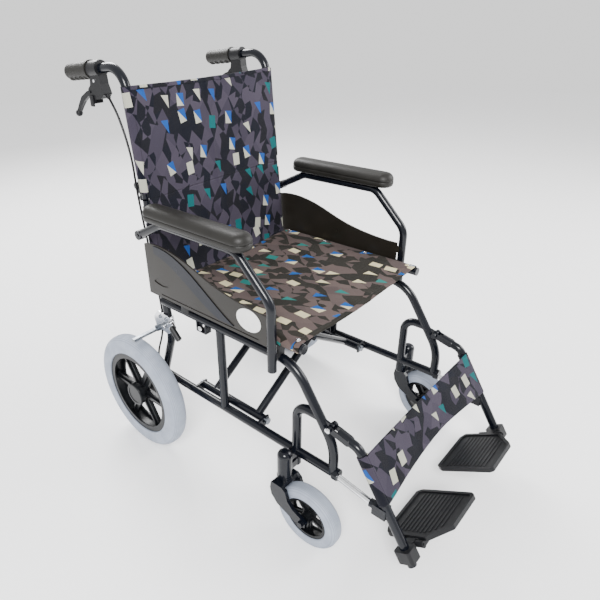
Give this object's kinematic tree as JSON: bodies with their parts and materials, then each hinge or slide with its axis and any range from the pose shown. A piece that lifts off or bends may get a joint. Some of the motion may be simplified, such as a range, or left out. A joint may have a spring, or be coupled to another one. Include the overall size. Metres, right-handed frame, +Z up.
{
  "type": "folding transit wheelchair",
  "caption": "Attendant-pushed folding wheelchair with cross brace, flip-up arms and footplates, fold-down back, hand brakes, small rear wheels and swivelling casters.",
  "frame": {"origin": "on the floor under the middle of the chair's overall length and width", "axes": "+X towards the sitter's left, +Y towards the push handles at the rear, +Z up"},
  "size_m": [0.63, 0.9944, 0.9376],
  "materials": {
    "frame_paint": "gloss",
    "bright_steel": "polished",
    "brake_steel": "satin",
    "black_plastic": "satin",
    "panel_plastic": "satin",
    "pad_foam": "matte",
    "grip_rubber": "matte",
    "grey_tyre": "matte",
    "wheel_plastic": "semi-gloss",
    "cable_sheath": "satin",
    "back_fabric": "woven",
    "seat_cloth": "woven"
  },
  "bodies": {
    "frame_right": {"side_rail_right": "frame_paint", "rear_post_right": "frame_paint", "lower_rail_right": "frame_paint", "caster_support_right": "frame_paint", "brake_plate_right": "bright_steel", "brace_pin_right": "bright_steel", "rear_axle_right": "brake_steel", "band_brake_right": "brake_steel", "brake_cable_right": "cable_sheath", "stay_right": "bright_steel", "back_fabric_lower": "back_fabric"},
    "brace_a": {"cross_brace_a": "frame_paint", "seat_fabric": "seat_cloth"},
    "brace_b": {"cross_brace_b": "frame_paint"},
    "frame_left": {"side_rail_left": "frame_paint", "rear_post_left": "frame_paint", "lower_rail_left": "frame_paint", "caster_support_left": "frame_paint", "brake_plate_left": "bright_steel", "brace_pin_left": "bright_steel", "rear_axle_left": "brake_steel", "band_brake_left": "brake_steel", "brake_cable_left": "cable_sheath", "stay_left": "bright_steel"},
    "back_right": {"push_cane_right": "frame_paint", "grip_right": "grip_rubber", "lever_housing_right": "black_plastic", "back_fabric_upper": "back_fabric"},
    "back_left": {"push_cane_left": "frame_paint", "grip_left": "grip_rubber", "lever_housing_left": "black_plastic"},
    "lever_right": {"hand_lever_right": "black_plastic"},
    "arm_right": {"arm_tube_right": "frame_paint", "arm_pad_right": "pad_foam", "side_panel_right": "panel_plastic"},
    "wheel_right": {"rear_rim_right": "wheel_plastic", "rear_tyre_right": "grey_tyre"},
    "fork_right": {"caster_fork_right": "frame_paint"},
    "caster_right": {"caster_rim_right": "wheel_plastic", "caster_tyre_right": "grey_tyre"},
    "park_right": {"park_lever_right": "bright_steel"},
    "shoe_right": {"brake_shoe_right": "bright_steel"},
    "leg_right": {"leg_hanger_right": "frame_paint", "foot_clamp_right": "black_plastic", "calf_strap": "back_fabric"},
    "plate_right": {"footplate_right": "black_plastic"},
    "lever_left": {"hand_lever_left": "black_plastic"},
    "arm_left": {"arm_tube_left": "frame_paint", "arm_pad_left": "pad_foam", "side_panel_left": "panel_plastic"},
    "wheel_left": {"rear_rim_left": "wheel_plastic", "rear_tyre_left": "grey_tyre"},
    "fork_left": {"caster_fork_left": "frame_paint"},
    "caster_left": {"caster_rim_left": "wheel_plastic", "caster_tyre_left": "grey_tyre"},
    "park_left": {"park_lever_left": "bright_steel"},
    "shoe_left": {"brake_shoe_left": "bright_steel"},
    "leg_left": {"leg_hanger_left": "frame_paint", "foot_clamp_left": "black_plastic"},
    "plate_left": {"footplate_left": "black_plastic"}
  },
  "joints": [
    {"name": "fold", "type": "hinge", "parent": "frame_right", "child": "brace_a", "pos_m": [-0.195, 0.04282, 0.19], "axis": [0, -1, 0], "range_deg": [0, 43], "deforming": ["seat_fabric", "back_fabric_upper", "back_fabric_lower", "calf_strap"]},
    {"name": "brace_cross", "type": "hinge", "parent": "brace_a", "child": "brace_b", "pos_m": [0, 0.04282, 0.31188], "axis": [0, -1, 0], "range_deg": [-86, 0]},
    {"name": "left_frame_pin", "type": "hinge", "parent": "brace_b", "child": "frame_left", "pos_m": [0.195, 0.04282, 0.19], "axis": [0, -1, 0], "range_deg": [0, 43]},
    {"name": "back_fold_right", "type": "hinge", "parent": "frame_right", "child": "back_right", "pos_m": [-0.216, 0.27974, 0.655], "axis": [-1, 0, 0], "range_deg": [0, 115], "deforming": ["brake_cable_right"]},
    {"name": "hand_lever_right", "type": "hinge", "parent": "back_right", "child": "lever_right", "pos_m": [-0.216, 0.40705, 0.87196], "axis": [1, 0, 0], "range_deg": [0, 20], "stiffness_Nm_per_rad": 0.5, "springref_deg": -11.46},
    {"name": "armrest_right", "type": "hinge", "parent": "frame_right", "child": "arm_right", "pos_m": [-0.247, 0.25782, 0.582], "axis": [-1, 0, 0], "range_deg": [0, 90]},
    {"name": "rear_wheel_right", "type": "hinge", "parent": "frame_right", "child": "wheel_right", "pos_m": [-0.287, 0.28482, 0.156], "axis": [1, 0, 0], "continuous": true},
    {"name": "caster_swivel_right", "type": "hinge", "parent": "frame_right", "child": "fork_right", "pos_m": [-0.261, -0.17218, 0.19], "axis": [0, 0, 1], "continuous": true},
    {"name": "caster_roll_right", "type": "hinge", "parent": "fork_right", "child": "caster_right", "pos_m": [-0.25985, -0.23817, 0.075], "axis": [0.9998, 0.0175, 0], "continuous": true},
    {"name": "park_lever_right", "type": "hinge", "parent": "frame_right", "child": "park_right", "pos_m": [-0.236, 0.20837, 0.361], "axis": [1, 0, 0], "range_deg": [0, 40]},
    {"name": "park_shoe_right", "type": "hinge", "parent": "frame_right", "child": "shoe_right", "pos_m": [-0.236, 0.23337, 0.343], "axis": [-1, 0, 0], "range_deg": [0, 10]},
    {"name": "legrest_right", "type": "hinge", "parent": "frame_right", "child": "leg_right", "pos_m": [-0.221, -0.25718, 0.3], "axis": [-1, 0, 0], "range_deg": [0, 50]},
    {"name": "footplate_right", "type": "hinge", "parent": "leg_right", "child": "plate_right", "pos_m": [-0.198, -0.43885, 0.0993], "axis": [0, -0.8434, 0.5373], "range_deg": [0, 86]},
    {"name": "back_fold_left", "type": "hinge", "parent": "frame_left", "child": "back_left", "pos_m": [0.216, 0.27974, 0.655], "axis": [-1, 0, 0], "range_deg": [0, 115], "deforming": ["brake_cable_left"]},
    {"name": "hand_lever_left", "type": "hinge", "parent": "back_left", "child": "lever_left", "pos_m": [0.216, 0.40705, 0.87196], "axis": [1, 0, 0], "range_deg": [0, 20], "stiffness_Nm_per_rad": 0.5, "springref_deg": -11.46},
    {"name": "armrest_left", "type": "hinge", "parent": "frame_left", "child": "arm_left", "pos_m": [0.247, 0.25782, 0.582], "axis": [-1, 0, 0], "range_deg": [0, 90]},
    {"name": "rear_wheel_left", "type": "hinge", "parent": "frame_left", "child": "wheel_left", "pos_m": [0.287, 0.28482, 0.156], "axis": [1, 0, 0], "continuous": true},
    {"name": "caster_swivel_left", "type": "hinge", "parent": "frame_left", "child": "fork_left", "pos_m": [0.261, -0.17218, 0.19], "axis": [0, 0, 1], "continuous": true},
    {"name": "caster_roll_left", "type": "hinge", "parent": "fork_left", "child": "caster_left", "pos_m": [0.25182, -0.23754, 0.075], "axis": [0.9903, -0.1392, 0], "continuous": true},
    {"name": "park_lever_left", "type": "hinge", "parent": "frame_left", "child": "park_left", "pos_m": [0.236, 0.20837, 0.361], "axis": [1, 0, 0], "range_deg": [0, 40]},
    {"name": "park_shoe_left", "type": "hinge", "parent": "frame_left", "child": "shoe_left", "pos_m": [0.236, 0.23337, 0.343], "axis": [-1, 0, 0], "range_deg": [0, 10]},
    {"name": "legrest_left", "type": "hinge", "parent": "frame_left", "child": "leg_left", "pos_m": [0.221, -0.25718, 0.3], "axis": [-1, 0, 0], "range_deg": [0, 50]},
    {"name": "footplate_left", "type": "hinge", "parent": "leg_left", "child": "plate_left", "pos_m": [0.198, -0.43885, 0.0993], "axis": [0, 0.8434, -0.5373], "range_deg": [0, 86]}
  ],
  "couplings": [
    {"joint": "brace_cross", "follows": "fold", "ratio": -2},
    {"joint": "left_frame_pin", "follows": "fold", "ratio": 1},
    {"joint": "park_shoe_right", "follows": "park_lever_right", "ratio": 0.25},
    {"joint": "footplate_right", "follows": "fold", "ratio": 2},
    {"joint": "back_fold_left", "follows": "back_fold_right", "ratio": 1},
    {"joint": "park_shoe_left", "follows": "park_lever_left", "ratio": 0.25},
    {"joint": "legrest_left", "follows": "legrest_right", "ratio": 1},
    {"joint": "footplate_left", "follows": "fold", "ratio": 2}
  ]
}
